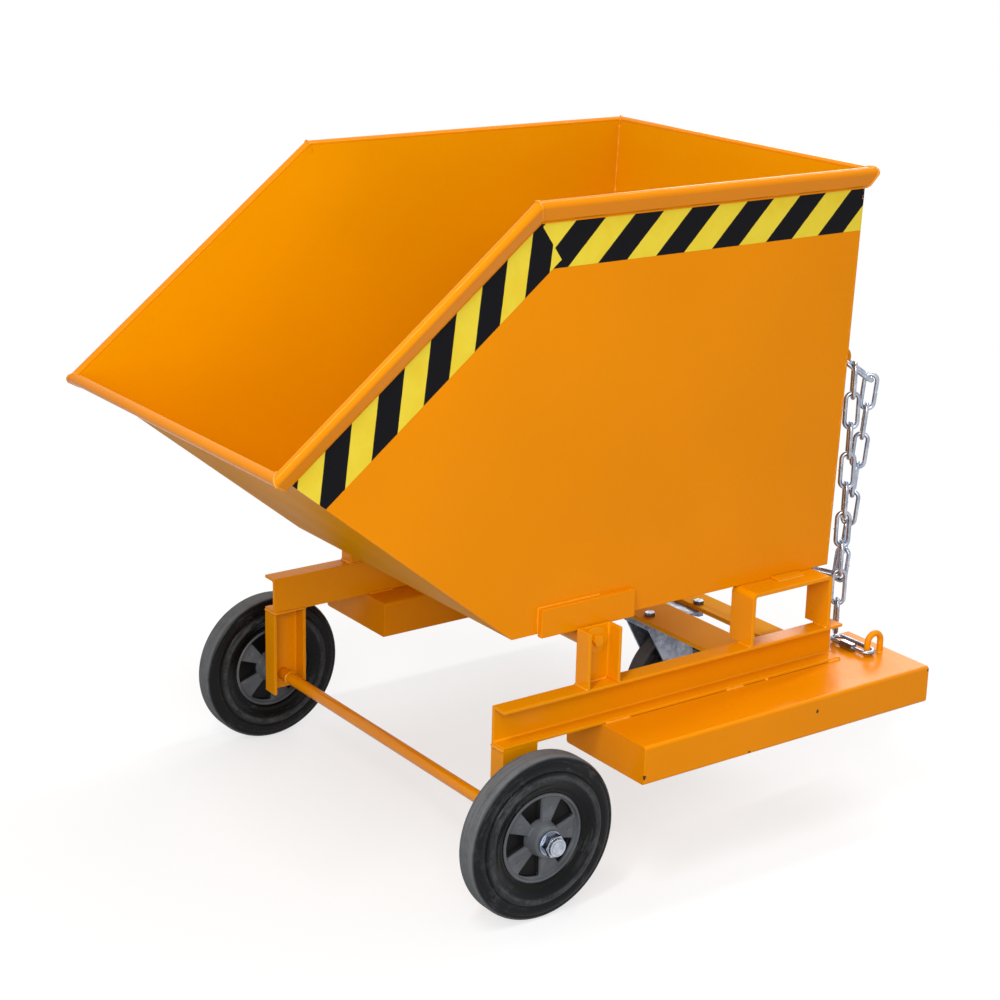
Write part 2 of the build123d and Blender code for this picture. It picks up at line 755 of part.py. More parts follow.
def make_pocket_eye():
    """Eye on the left pocket and the quick link that lies round its front leg."""
    eye_x = floor_rear + eye_from_floor - eye_span / 2
    eye_y = -pocket_mid_y - eye_offset
    rise = Vector(0, 0, eye_height - eye_wire / 2 - eye_span / 2)
    nodes["chain_eye"] = staple((eye_x, eye_y, deck_height), rise, Vector(eye_span, 0, 0), eye_wire)

    link_z = deck_height + sleeve_flats / 2 + loose_gap
    near_end = eye_y - eye_wire / 2 - quick_link_play - chain_wire
    link_y = near_end + quick_link_length / 2
    centre = Vector(eye_x, link_y, link_z)
    nodes["quick_link"] = oval(
        quick_link_length, quick_link_width, chain_wire, centre, Vector(0, 1, 0), Vector(1, 0, 0)
    )
    side_x = eye_x - (quick_link_width - chain_wire) / 2
    start = link_y - sleeve_length / 2
    end = link_y + sleeve_length / 2
    sleeve = hex_bar((side_x, start, link_z), (side_x, end, link_z), sleeve_flats)
    nodes["quick_link_sleeve"] = sleeve - rod_y(side_x, link_z, chain_wire / 2 + seat_gap, start, end)
    far_end = near_end + quick_link_length - chain_wire / 2
    return Vector(eye_x, far_end, link_z + chain_wire / 2 + strand_lift)


def make_hook(held, across, tilted):
    """Snap hook held up by its near side, with a gate on its far side."""
    side = (hook_width - hook_wire) / 2
    centre = held + across * side + tilted * hook_hold
    hook = oval(hook_length, hook_width, hook_wire, centre, tilted, across)
    middle = Plane(origin=centre + across * side, x_dir=tilted, z_dir=tilted.cross(across))
    notch = middle * Box(gate_length, hook_wire + cut_spare, hook_wire + cut_spare)
    nodes["snap_hook"] = hook - notch
    gate_start = middle.origin - tilted * (gate_length / 2 - gate_hinge_gap)
    gate_end = middle.origin + tilted * (gate_length / 2 - gate_tip_gap)
    nodes["snap_hook_gate"] = rod(gate_start, gate_end, hook_wire / 2)
    end = tilted * (hook_length / 2 - hook_wire / 2)
    return centre - end, centre + end


def make_panel_eyes(high_end):
    """Two eyes on the rear panel: for the hook and for the last link, whose Y it returns."""
    half_span = panel_eye_span / 2
    lip, front, rear, rear_top = box_outline()
    outline = [(front.X, front.Y), (rear.X, rear.Y), (rear_top.X, rear_top.Y), (front.X, rear_top.Y)]
    panel = side_prism(outline, -half_box, half_box)
    eyes = []
    hook_eye_y = high_end.Y - panel_eye_shift
    last_eye_y = hook_eye_y + panel_eye_spacing
    for y in (hook_eye_y, last_eye_y):
        start = Vector(panel_x(high_end.Z) - sheet, y, high_end.Z - half_span)
        reach = Vector(high_end.X + panel_eye_reach - start.X, 0, 0)
        eyes.append(staple(start, reach, Vector(0, 0, panel_eye_span), panel_eye_wire) - panel)
    nodes["panel_eyes"] = Compound(eyes)
    return last_eye_y


def chain_run(top, bottom, count, top_wide, bottom_wide):
    """Straight run of links between two contact points, each a quarter turn from the next."""
    axis = (bottom - top).normalized()
    step = (bottom - top) / count
    aside = axis.cross(top_wide)
    quarters = (count - 1) % 2
    turn = math.atan2(bottom_wide.dot(aside), bottom_wide.dot(top_wide)) - math.pi / 2 * quarters
    twist = math.remainder(turn, math.pi)
    links = []
    for i in range(count):
        angle = twist * i / (count - 1) + math.pi / 2 * (i % 2)
        wide = top_wide * math.cos(angle) + aside * math.sin(angle)
        links.append(chain_link(top + step * (i + 0.5), axis, wide))
    return links


def chain_loop(first, last, first_wide, last_wide):
    """Two runs of links that hang from two contact points and share a level link at the bottom."""
    upward = Vector(0, 0, 1)
    span = Vector(last.X - first.X, last.Y - first.Y, 0)
    along = span.normalized()
    bars = along * (link_pitch + chain_wire)
    step = link_pitch - loose_gap
    lean = (span.length - bars.length) / 2
    drop = math.sqrt((loop_links * step) ** 2 - lean**2)
    first_foot = first + along * lean - upward * drop
    last_foot = first_foot + bars
    last_links = math.ceil((last - last_foot).length / step)
    middle = (first_foot + last_foot) * 0.5 + upward * (chain_wire / 2 + 2 * loose_gap)
    bottom = chain_link(middle, along, upward.cross(along))
    front_run = chain_run(first, first_foot, loop_links, first_wide, along)
    rear_run = chain_run(last, last_foot, last_links, last_wide, along)
    return front_run + [bottom] + rear_run


def make_chain():
    """Strand from the quick link up to the hook, and the loop that hangs from the hook."""
    upward = Vector(0, 0, 1)
    foot = make_pocket_eye() + upward * (chain_wire + loose_gap / 2)
    turn = math.radians(chain_turn)
    across = Vector(math.cos(turn), math.sin(turn), 0)
    level = Vector(math.sin(turn), -math.cos(turn), 0)
    top = foot + upward * (strand_links * (link_pitch - loose_gap))
    strand = chain_run(top, foot, strand_links, across, across)

    tilt = math.radians(hook_tilt)
    tilted = level * math.cos(tilt) - upward * math.sin(tilt)
    hook_depth = ((hook_wire + chain_wire) / 2 + loose_gap) / math.cos(tilt) - chain_wire / 2
    high_end, low_end = make_hook(top - upward * hook_depth, across, tilted)
    last_eye_y = make_panel_eyes(high_end)

    first = low_end + upward * (hook_wire / 2 + 3 * loose_gap)
    leg_top = high_end.Z - panel_eye_span / 2 + panel_eye_wire / 2 + 2 * loose_gap
    last = Vector(high_end.X, last_eye_y, leg_top)
    loop = chain_loop(first, last, level, Vector(0, 1, 0))
    nodes["chain_links"] = Compound(strand + loop)


make_frame()
make_rests()
make_pockets()
make_pivot()
make_rim()
make_box()
make_tape()
make_handle()
make_wheels()
make_castor_mounting()
make_castor()
make_chain()

os.makedirs("parts", exist_ok=True)
for name, shape in nodes.items():
    shape.label = name
    export_step(shape, f"parts/{name}.step")
print(len(nodes), "nodes", Compound(list(nodes.values())).bounding_box())
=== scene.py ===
import json
import math

import bmesh
import bpy
from mathutils import Matrix, Vector, geometry, noise


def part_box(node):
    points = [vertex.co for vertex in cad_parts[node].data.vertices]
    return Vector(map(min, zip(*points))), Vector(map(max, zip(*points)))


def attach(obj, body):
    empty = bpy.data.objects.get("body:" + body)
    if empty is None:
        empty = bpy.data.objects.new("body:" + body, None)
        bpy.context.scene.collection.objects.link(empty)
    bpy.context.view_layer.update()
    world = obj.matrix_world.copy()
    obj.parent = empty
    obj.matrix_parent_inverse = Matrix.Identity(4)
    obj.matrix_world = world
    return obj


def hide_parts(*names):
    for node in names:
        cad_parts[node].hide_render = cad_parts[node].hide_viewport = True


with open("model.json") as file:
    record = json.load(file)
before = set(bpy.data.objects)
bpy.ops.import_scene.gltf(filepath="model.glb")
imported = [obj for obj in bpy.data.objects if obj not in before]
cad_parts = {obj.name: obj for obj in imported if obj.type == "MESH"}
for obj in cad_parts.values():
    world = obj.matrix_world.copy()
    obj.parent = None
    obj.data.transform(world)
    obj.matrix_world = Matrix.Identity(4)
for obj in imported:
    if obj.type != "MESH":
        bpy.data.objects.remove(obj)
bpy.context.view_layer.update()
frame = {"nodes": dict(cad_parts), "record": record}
nodes = frame["nodes"]
scene = bpy.context.scene
mm = 0.001
SIDES = {"left": -1.0, "right": 1.0}

# Colours in linear light. The paint is one orange in tones that lie close together, because light that
# bounces between orange faces turns a single tone too red.
ORANGE = (0.745, 0.260, 0.0)
ORANGE_SIDE = (0.735, 0.232, 0.0)
# Painted light: the inside tone is yellower to offset the red of light bounced inside the box
ORANGE_INSIDE_BOUNCE_OFFSET = (0.745, 0.292, 0.0)
# Painted light: a paler orange for the castor bars, which stands in for light that the box's shade
# keeps from them
ORANGE_PAINTED_LIGHT = (0.86, 0.365, 0.01)
ORANGE_SHADE = (0.25, 0.085, 0.0)
PRIMER = (0.035, 0.025, 0.02)
TAPE_YELLOW = (0.72, 0.565, 0.045)
TAPE_YELLOW_DEEP = (0.70, 0.51, 0.03)
TAPE_BLACK = (0.007, 0.007, 0.009)
RUBBER = (0.0055, 0.006, 0.0072)
# Painted shade for the tyre's recess, and a lighter tone for scuffs with a painted highlight on its
# crest
RUBBER_PAINTED_SHADE = (0.0018, 0.002, 0.0025)
RUBBER_SCUFF_AND_HIGHLIGHT = (0.050, 0.052, 0.056)
RUBBER_WORN = (0.125, 0.13, 0.136)
RUBBER_DUST = (0.11, 0.112, 0.116)
PLASTIC = (0.080, 0.086, 0.095)
PLASTIC_PALE = (0.128, 0.135, 0.148)
# Painted shade: nearly black plastic in the deep pockets of the wheel rims
PLASTIC_PAINTED_SHADE = (0.003, 0.003, 0.0035)
ZINC = (0.50, 0.54, 0.61)
ZINC_DARK = (0.30, 0.34, 0.42)
# Painted shade: darker zinc for the castor bolts, which sit in the box's shade
BOLT_PAINTED_SHADE = (0.20, 0.22, 0.26)
BOLT_PAINTED_SHADE_DARK = (0.10, 0.11, 0.14)
GATE = (0.42, 0.47, 0.58)
GATE_DARK = (0.28, 0.33, 0.45)
BUSH = (0.30, 0.31, 0.33)
BUSH_DARK = (0.16, 0.165, 0.18)
# Painted shade: dark tones of the galvanised sheet stand in for the shade it reflects under the box
GALVANISED_PAINTED_SHADE = (0.17, 0.20, 0.26)
GALVANISED_PALE = (0.34, 0.38, 0.46)

# Grain of painted, taped and rubber surfaces and of moulded plastic, in waves per metre
FINE_GRAIN, MOULD_GRAIN = 420.0, 900.0
# Paint: shares of its colour that its tone drifts between, and the depth in which a lining's tone ends
DEEP_SHARE, PALE_SHARE = 0.953, 1.034
LINING_EDGE = 0.5 * mm
# Chips in the paint: their size, and the swing of their ragged edge
CHIP_RADIUS = 6.0 * mm
CHIP_SWING = 2.4 * CHIP_RADIUS
# The axle is painted up to this distance from its middle
AXLE_PAINTED = 360.0 * mm
# One yellow and one black stripe of the tape
STRIPE_PERIOD = 103.0 * mm
# Parts of a tyre's radius where its wall stands out most, with scuffs and a painted highlight, and
# where painted shade makes it black
CREST_SHARE, RECESS_SHARE = 0.75, 0.60


class Shader:
    """A node material built up from a Principled shader."""

    def __init__(self, name, specular=0.5, metallic=0.0):
        self.material = bpy.data.materials.new(name)
        self.material.use_nodes = True
        self.tree = self.material.node_tree
        self.bsdf = self.tree.nodes["Principled BSDF"]
        self.bsdf.inputs["Metallic"].default_value = metallic
        self.bsdf.inputs["Specular IOR Level"].default_value = specular
        self.place = self.node("ShaderNodeTexCoord").outputs["Object"]

    def node(self, kind, **settings):
        made = self.tree.nodes.new(kind)
        for key, value in settings.items():
            setattr(made, key, value)
        return made

    def link(self, source, target):
        self.tree.links.new(source, target)

    def feed(self, socket, value):
        """Links a socket, or sets its constant."""
        if isinstance(value, bpy.types.NodeSocket):
            self.link(value, socket)
        else:
            socket.default_value = value

    def noise(self, scale, detail=3.0, rough=0.55, vector=None):
        made = self.node("ShaderNodeTexNoise")
        self.link(vector or self.place, made.inputs["Vector"])
        made.inputs["Scale"].default_value = scale
        made.inputs["Detail"].default_value = detail
        made.inputs["Roughness"].default_value = rough
        return made.outputs["Fac"]

    def cells(self, scale):
        """Distance to the nearest of many scattered points."""
        made = self.node("ShaderNodeTexVoronoi")
        self.link(self.place, made.inputs["Vector"])
        made.inputs["Scale"].default_value = scale
        return made.outputs["Distance"]

    def ramp(self, value, low, high, out_low=0.0, out_high=1.0):
        """Takes a value from low and high to out_low and out_high, with soft ends."""
        made = self.node("ShaderNodeMapRange", interpolation_type="SMOOTHSTEP")
        self.link(value, made.inputs["Value"])
        made.inputs["From Min"].default_value = low
        made.inputs["From Max"].default_value = high
        made.inputs["To Min"].default_value = out_low
        made.inputs["To Max"].default_value = out_high
        return made.outputs["Result"]

    def math(self, kind, a, b=0.0, c=0.0):
        made = self.node("ShaderNodeMath", operation=kind)
        for socket, value in zip(made.inputs, (a, b, c)):
            self.feed(socket, value)
        return made.outputs[0]

    def vector_math(self, kind, a, b=None):
        made = self.node("ShaderNodeVectorMath", operation=kind)
        self.feed(made.inputs[0], a)
        if b is not None:
            self.feed(made.inputs[1], b)
        return made

    def axes(self, vector=None):
        """X, Y and Z of a vector, or of the place on the part."""
        made = self.node("ShaderNodeSeparateXYZ")
        self.link(vector or self.place, made.inputs[0])
        return made.outputs

    def combine(self, x, y, z):
        made = self.node("ShaderNodeCombineXYZ")
        for socket, value in zip(made.inputs, (x, y, z)):
            self.feed(socket, value)
        return made.outputs[0]

    def mix(self, factor, a, b):
        made = self.node("ShaderNodeMix", data_type="RGBA")
        self.feed(made.inputs["Factor"], factor)
        for key, colour in (("A", a), ("B", b)):
            socket = [s for s in made.inputs if s.name == key and s.type == "RGBA"][0]
            linked = isinstance(colour, bpy.types.NodeSocket)
            self.feed(socket, colour if linked else (*colour, 1.0))
        return [s for s in made.outputs if s.type == "RGBA"][0]

    def colour(self, socket):
        self.link(socket, self.bsdf.inputs["Base Color"])

    def rough(self, socket):
        self.link(socket, self.bsdf.inputs["Roughness"])

    def bump(self, height, strength, distance):
        made = self.node("ShaderNodeBump")
        made.inputs["Strength"].default_value = strength
        made.inputs["Distance"].default_value = distance
        self.link(height, made.inputs["Height"])
        self.link(made.outputs["Normal"], self.bsdf.inputs["Normal"])


def paint(name, base=ORANGE, specular=0.11, roughness=(0.22, 0.34), peel=0.05, lining=None, chips=()):
    """Glossy powder coat with a faint orange peel, colour drift, dust specks and chips at given points.

    A lining is a plane, given by its normal and its distance from the origin. The paint behind it has
    the inside tone, a yellower copy of the orange that offsets the red of light bounced inside the box.
    """
    s = Shader(name, specular)
    plain = base
    if lining is not None:
        normal, reach = lining
        depth = s.vector_math("DOT_PRODUCT", s.place, normal).outputs["Value"]
        plain = s.mix(s.ramp(depth, reach, reach + LINING_EDGE), ORANGE_INSIDE_BOUNCE_OFFSET, base)
    broad = s.ramp(s.noise(2.2, 2.0), 0.3, 0.72, DEEP_SHARE, PALE_SHARE)
    cloudy = s.ramp(s.noise(14.0), 0.45, 0.8, 0.0, 0.01)
    drifting = s.vector_math("SCALE", plain)
    s.link(s.math("ADD", broad, cloudy), drifting.inputs["Scale"])
    specks = s.ramp(s.cells(95.0), 0.030, 0.045, 0.30, 0.0)
    tone = s.mix(specks, drifting.outputs["Vector"], PRIMER)
    for point in chips:
        away = s.vector_math("DISTANCE", s.place, point).outputs["Value"]
        ragged = s.math("MULTIPLY_ADD", s.noise(160.0, 4.0, 0.7), CHIP_SWING, -CHIP_SWING / 2)
        chip = s.ramp(s.math("ADD", away, ragged), CHIP_RADIUS * 0.35, CHIP_RADIUS * 0.5, 1.0, 0.0)
        tone = s.mix(chip, tone, PRIMER)
    s.colour(tone)
    s.rough(s.ramp(s.noise(7.0), 0.25, 0.75, *roughness))
    waves = s.math("MULTIPLY_ADD", s.noise(26.0, 1.0, 0.3), 0.9, s.noise(FINE_GRAIN, 1.0, 0.4))
    s.bump(waves, peel, 0.5 * mm)
    return s.material


def axle_finish(name):
    """Powder coat on a rod whose ends are bright zinc."""
    s = Shader(name, specular=0.24)
    out = s.math("ABSOLUTE", s.axes()["Y"])
    bare = s.ramp(out, AXLE_PAINTED, AXLE_PAINTED + 1.0 * mm)
    coat = s.mix(s.ramp(s.noise(14.0), 0.3, 0.75), ORANGE_SIDE, ORANGE)
    plate = s.mix(s.ramp(s.noise(90.0, 4.0, 0.6), 0.35, 0.7), ZINC_DARK, ZINC)
    s.colour(s.mix(bare, coat, plate))
    s.link(bare, s.bsdf.inputs["Metallic"])
    s.rough(s.ramp(s.noise(60.0), 0.25, 0.75, 0.13, 0.22))
    s.bump(s.noise(FINE_GRAIN, 2.0, 0.4), 0.08, 0.4 * mm)
    return s.material


def tape(name, way, phase):
    """Black and yellow stripes, which change along a way in X and Z."""
    s = Shader(name, specular=0.04)
    stretch = (way[0] / STRIPE_PERIOD, 0.0, way[1] / STRIPE_PERIOD)
    run = s.math("ADD", s.vector_math("DOT_PRODUCT", s.place, stretch).outputs["Value"], phase)
    wobble = s.math("MULTIPLY_ADD", s.noise(90.0, 2.0), 0.012, run)
    stripe = s.ramp(s.math("PINGPONG", wobble, 0.5), 0.246, 0.254)
    yellow = s.mix(s.ramp(s.noise(24.0, 4.0), 0.35, 0.75), TAPE_YELLOW, TAPE_YELLOW_DEEP)
    s.colour(s.mix(stripe, TAPE_BLACK, yellow))
    s.rough(s.ramp(s.noise(30.0, 4.0), 0.3, 0.7, 0.26, 0.42))
    s.bump(s.noise(FINE_GRAIN, 2.0), 0.05, 0.4 * mm)
    return s.material


def zinc(name, bright, dark, roughness):
    """Zinc plate or bare steel with cloudy tone and fine grain."""
    s = Shader(name, metallic=1.0)
    s.colour(s.mix(s.ramp(s.noise(70.0, 4.0, 0.6), 0.35, 0.7), dark, bright))
    s.rough(s.ramp(s.noise(160.0), 0.3, 0.7, roughness * 0.8, roughness * 1.35))
    s.bump(s.noise(600.0, 2.0), 0.08, 0.3 * mm)
    return s.material


def galvanised(name):
    """Galvanised sheet with spangle and wiped streaks, in dark tones that paint the shade it reflects
    under the box.
    """
    s = Shader(name, specular=0.3, metallic=0.55)
    spangle = s.math("ADD", s.noise(110.0, 2.0), s.noise(26.0, 4.0, 0.65))
    stretched = s.vector_math("MULTIPLY", s.place, (60.0, 60.0, 9.0)).outputs["Vector"]
    streak = s.noise(1.0, 3.0, 0.6, stretched)
    tone = s.mix(s.ramp(spangle, 0.75, 1.25), GALVANISED_PAINTED_SHADE, GALVANISED_PALE)
    s.colour(s.mix(s.ramp(streak, 0.5, 0.8, 0.0, 0.6), tone, GALVANISED_PAINTED_SHADE))
    s.rough(s.ramp(streak, 0.3, 0.7, 0.30, 0.52))
    s.bump(s.noise(260.0), 0.12, 0.5 * mm)
    return s.material


def rubber(name, centre, radius, half_width):
    """Solid rubber tyre: worn pale tread, dark walls with scuffs and dust, painted shade that turns its
    recess black, and a lighter crest of scuffs with a painted highlight.
    """
    s = Shader(name, specular=0.13)
    offset = s.axes(s.vector_math("SUBTRACT", s.place, tuple(centre)).outputs["Vector"])
    away = s.vector_math("LENGTH", s.combine(offset["X"], 0.0, offset["Z"])).outputs["Value"]
    turn = s.math("ARCTAN2", offset["Z"], offset["X"])
    around = s.math("MULTIPLY", turn, 2.2)
    over = s.math("MULTIPLY", offset["Y"], 260.0)
    rolled = s.combine(around, over, s.math("MULTIPLY", away, 70.0))
    lines = s.noise(1.6, 4.0, 0.65, rolled)
    scuff = s.noise(34.0, 5.0, 0.65)
    marks = s.math("ADD", lines, scuff)
    tread = s.ramp(away, radius * 0.955, radius * 0.992)
    side = s.math("ABSOLUTE", offset["Y"])
    inner = s.ramp(side, half_width * 0.62, half_width * 0.80, 1.0, 0.0)
    worn = s.math("MULTIPLY", tread, s.math("ADD", inner, 0.25))
    worn = s.math("MULTIPLY", worn, s.ramp(marks, 0.6, 1.3, 0.45, 1.0))
    share = s.math("DIVIDE", away, radius)
    off_crest = s.math("ABSOLUTE", s.math("SUBTRACT", share, CREST_SHARE))
    # The crest is lighter: scuffs with a painted highlight on the wall's ring
    crest = s.ramp(off_crest, 0.012, 0.05, 1.0, 0.0)
    crest = s.math("MULTIPLY", crest, s.ramp(marks, 0.75, 1.2, 0.15, 1.0))
    swept = s.math("MULTIPLY", s.noise(2.4, 5.0, 0.7, rolled), s.noise(13.0))
    dust = s.math("MULTIPLY", scuff, s.noise(9.0, 2.0))
    # Painted shade: the wall darkens to black towards its recess at the rim
    tone = s.mix(s.ramp(share, RECESS_SHARE, CREST_SHARE), RUBBER_PAINTED_SHADE, RUBBER)
    tone = s.mix(crest, tone, RUBBER_SCUFF_AND_HIGHLIGHT)
    tone = s.mix(worn, tone, RUBBER_WORN)
    tone = s.mix(s.ramp(swept, 0.29, 0.44, 0.0, 0.3), tone, RUBBER_DUST)
    s.colour(s.mix(s.ramp(dust, 0.31, 0.46, 0.0, 0.22), tone, RUBBER_DUST))
    s.rough(s.ramp(s.math("ADD", scuff, worn), 0.3, 1.4, 0.20, 0.82))
    s.bump(s.math("MULTIPLY_ADD", lines, 1.5, s.noise(FINE_GRAIN)), 0.18, 0.6 * mm)
    return s.material


def plastic_tone(s, roughness):
    """Tone of moulded plastic with light scuffs. Sets its roughness and spark-eroded grain too."""
    clouds = s.ramp(s.noise(18.0, 4.0), 0.4, 0.75)
    scuffs = s.ramp(s.noise(120.0, 4.0, 0.7), 0.62, 0.8, 0.0, 0.4)
    s.rough(s.ramp(s.noise(24.0), 0.3, 0.7, *roughness))
    s.bump(s.noise(MOULD_GRAIN, 2.0), 0.15, 0.3 * mm)
    return s.mix(scuffs, s.mix(clouds, PLASTIC, PLASTIC_PALE), PLASTIC_PALE)


def plastic(name):
    """Moulded plastic, all in one tone."""
    s = Shader(name, specular=0.3)
    s.colour(plastic_tone(s, (0.38, 0.56)))
    return s.material


def moulded(name, middle, shallow, deep):
    """Moulded rim: plastic with painted shade, which turns it nearly black in its deep pockets."""
    s = Shader(name, specular=0.13)
    depth = s.math("ABSOLUTE", s.math("SUBTRACT", s.axes()["Y"], middle))
    s.colour(s.mix(s.ramp(depth, deep, shallow), PLASTIC_PAINTED_SHADE, plastic_tone(s, (0.34, 0.5))))
    return s.material


def dress(material, *names):
    """Gives pieces a material."""
    for name in names:
        data = nodes[name].data
        data.materials.clear()
        data.materials.append(material)


def pieces_of(slot):
    return [part["node"] for part in frame["record"]["subparts"] if part["material_slot"] == slot]


def pair(*stems):
    """Names of the left and right pieces."""
    return [f"{stem}_{side}" for stem in stems for side in SIDES]


def corners(node):
    """Lowest and highest corner of a piece."""
    return [Vector(corner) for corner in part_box(node)]


def centre_of(node):
    """Centre and half size of a piece."""
    low, high = corners(node)
    return (low + high) / 2, (high - low) / 2


# Outline of the box, seen from the side: its lip and knee are measured from the floor's front edge
SHEET = 3.0 * mm
LIP_REACH, LIP_RISE = 380.8 * mm, 305.4 * mm
KNEE_SETBACK, BOX_HEIGHT = 20.5 * mm, 620.4 * mm
REAR_TILT = math.radians(2.0)
floor0, floor1 = corners("floor_plate")
lip_x, lip_z = floor0.x - LIP_REACH, floor0.z + LIP_RISE
knee_x, rim_z = floor0.x + KNEE_SETBACK, floor0.z + BOX_HEIGHT


def rear_x(z):
    """Outer face of the rear panel at a height."""
    return floor1.x + (z - floor0.z) * math.tan(REAR_TILT)


# Paint: the frame's tone on everything that is orange, then the pieces that differ
dress(paint("orange_powder_coat"), *pieces_of("orange_paint"))
pocket0, pocket1 = corners("fork_pocket_left")
# Places of the chips on the left pocket's outer side
pocket_chips = [
    (pocket0.x, pocket0.y, pocket1.z),
    (pocket0.x, pocket0.y, pocket0.z + 12.0 * mm),
    (pocket0.x + 200.0 * mm, pocket0.y, pocket0.z + 4.0 * mm),
    (pocket0.x + 335.0 * mm, pocket0.y, pocket1.z - 22.0 * mm),
    (pocket1.x, pocket0.y, pocket1.z - 6.0 * mm),
]
dress(paint("orange_pocket", ORANGE_SIDE, specular=0.07, chips=pocket_chips), *pair("fork_pocket"))
dress(paint("orange_pivot_plate", ORANGE_SIDE, specular=0.08), *pair("pivot_plate"))
# The slope and floor plates take the inside tone, which offsets bounce light
slope_coat = paint("orange_slope", ORANGE_INSIDE_BOUNCE_OFFSET, specular=0.003, roughness=(0.34, 0.42), peel=0.008)
dress(slope_coat, "slope_plate")
dress(paint("orange_inside_bounce_offset", ORANGE_INSIDE_BOUNCE_OFFSET), "floor_plate")
# Inside tone of the panels, a yellower copy that offsets bounce light, up to a depth in their sheet
SIDE_LINING, REAR_LINING = 1.0 * mm, SHEET / 2
rear_normal = (math.cos(REAR_TILT), 0.0, -math.sin(REAR_TILT))
rear_face = floor1.x * math.cos(REAR_TILT) - floor0.z * math.sin(REAR_TILT)
linings = {"rear_panel": (rear_normal, rear_face - REAR_LINING)}
for side, sign in SIDES.items():
    linings["side_panel_" + side] = ((0.0, sign, 0.0), floor1.y + SIDE_LINING)
for panel, lining in linings.items():
    dress(paint("orange_" + panel, ORANGE_SIDE, specular=0.08, lining=lining), panel)
rim_coat = paint("orange_rim_coat", ORANGE_SIDE, roughness=(0.12, 0.17), peel=0.03)
dress(rim_coat, *[name for name in nodes if name.startswith("rim_")])
# The castor bars under the box take the paler orange as painted light
painted_light_coat = paint("orange_painted_light", ORANGE_PAINTED_LIGHT, specular=0.03, roughness=(0.55, 0.7))
dress(painted_light_coat, "castor_bar_front", "castor_bar_rear")
weld_coat = paint("orange_weld_coat", specular=0.35, roughness=(0.16, 0.26))
seam_shade = paint("orange_seam_shade", ORANGE_SHADE)

# Metal, plastic and rubber
dress(axle_finish("axle_rod_finish"), "axle_rod")
zinc_plate = zinc("zinc_plate", ZINC, ZINC_DARK, roughness=0.22)
dress(zinc_plate, *pieces_of("zinc"))
# The castor bolts take darker zinc as painted shade
dress(zinc("zinc_painted_shade", BOLT_PAINTED_SHADE, BOLT_PAINTED_SHADE_DARK, roughness=0.3), "castor_bolts")
dress(zinc("gate_steel", GATE, GATE_DARK, roughness=0.26), "snap_hook_gate")
dress(zinc("bush_steel", BUSH, BUSH_DARK, roughness=0.35), *pieces_of("bush_steel"))
dress(galvanised("galvanised_painted_shade"), *pieces_of("galvanised"))
dress(plastic("rim_plastic"), *pieces_of("rim_plastic"))
for tyre_name in pieces_of("tyre_rubber"):
    middle, half = centre_of(tyre_name)
    dress(rubber(tyre_name + "_rubber", middle, half.z, half.y), tyre_name)

# Hazard tape: the place where one stripe of the top strips starts, and the shift of the sloping strips
TOP_START_X, TOP_START_Z = 406.0 * mm, 917.0 * mm
TOP_PHASE = (TOP_START_Z - TOP_START_X) / STRIPE_PERIOD
SLOPE_PHASE = 0.30
slope = math.atan2(rim_z - lip_z, knee_x - lip_x)
slope_run = Vector((math.cos(slope), math.sin(slope)))
slope_down = Vector((math.sin(slope), -math.cos(slope)))
for side, sign in SIDES.items():
    dress(tape("tape_top_" + side, (1.0, sign), TOP_PHASE), "hazard_tape_top_" + side)
    slope_stripes = tape("tape_slope_" + side, slope_run - slope_down * sign, SLOPE_PHASE)
    dress(slope_stripes, "hazard_tape_slope_" + side)

# Broken edges: reach in which vertices are joined, faces that count as one, edges that count as sharp
JOIN_REACH = 1e-6
FLAT_ANGLE, SHARP_ANGLE = math.radians(0.5), math.radians(40.0)
EDGE_SEGMENTS = 2
PLATE_EDGE, SHEET_EDGE, FASTENER_EDGE = 1.0 * mm, 0.6 * mm, 0.5 * mm


def soften(width, *names):
    """Breaks the sharp edges of CAD pieces, without touching their meshes."""
    for name in names:
        weld = nodes[name].modifiers.new("join", "WELD")
        weld.merge_threshold = JOIN_REACH
        flat = nodes[name].modifiers.new("flat_faces", "DECIMATE")
        flat.decimate_type = "DISSOLVE"
        flat.angle_limit = FLAT_ANGLE
        edge = nodes[name].modifiers.new("broken_edges", "BEVEL")
        edge.width = width
        edge.segments = EDGE_SEGMENTS
        edge.limit_method = "ANGLE"
        edge.angle_limit = SHARP_ANGLE


soften(PLATE_EDGE, *pair("rail", "leg", "pivot_post", "rest_bridge", "pivot_plate", "fork_pocket"))
soften(PLATE_EDGE, "castor_bar_front", "castor_bar_rear", "box_guides", "handle_lugs", "castor_plate")
soften(SHEET_EDGE, *pair("side_panel"), "floor_plate", "slope_plate", "rear_panel")
soften(FASTENER_EDGE, "axle_fasteners", "pivot_fasteners", "castor_bolts", "castor_axle_bolt")

# Weld beads: spacing and sides of their rings, length of a ripple, and parts of a bead's radius
BEAD_STEP, BEAD_SIDES = 1.3 * mm, 7
RIPPLE = 3.9 * mm
RIPPLE_SHARE, SWELL_SHARE, DRIFT_SHARE = 0.10, 0.38, 0.18
# Size of an open bead's end, and its growth from ring to ring
END_SHARE, END_GROWTH = 0.5, 0.2
# Noise along a bead: rate along it, distance from one bead to the next, and level
SWELL_NOISE, DRIFT_NOISE = (90.0, 3.1, 2.0), (120.0, 7.3, 0.5)
# With its seed set, Blender's noise is the same in each run
NOISE_SEED = 7
noise.seed_set(NOISE_SEED)
# A direction that no bead follows
REFERENCE = Vector((0.31, 0.53, 0.79)).normalized()
HOOP_POINTS = 24
Y_AXIS, Z_AXIS = 1, 2


def even_angles(count):
    """Angles at even steps around a circle."""
    return [math.tau * k / count for k in range(count)]


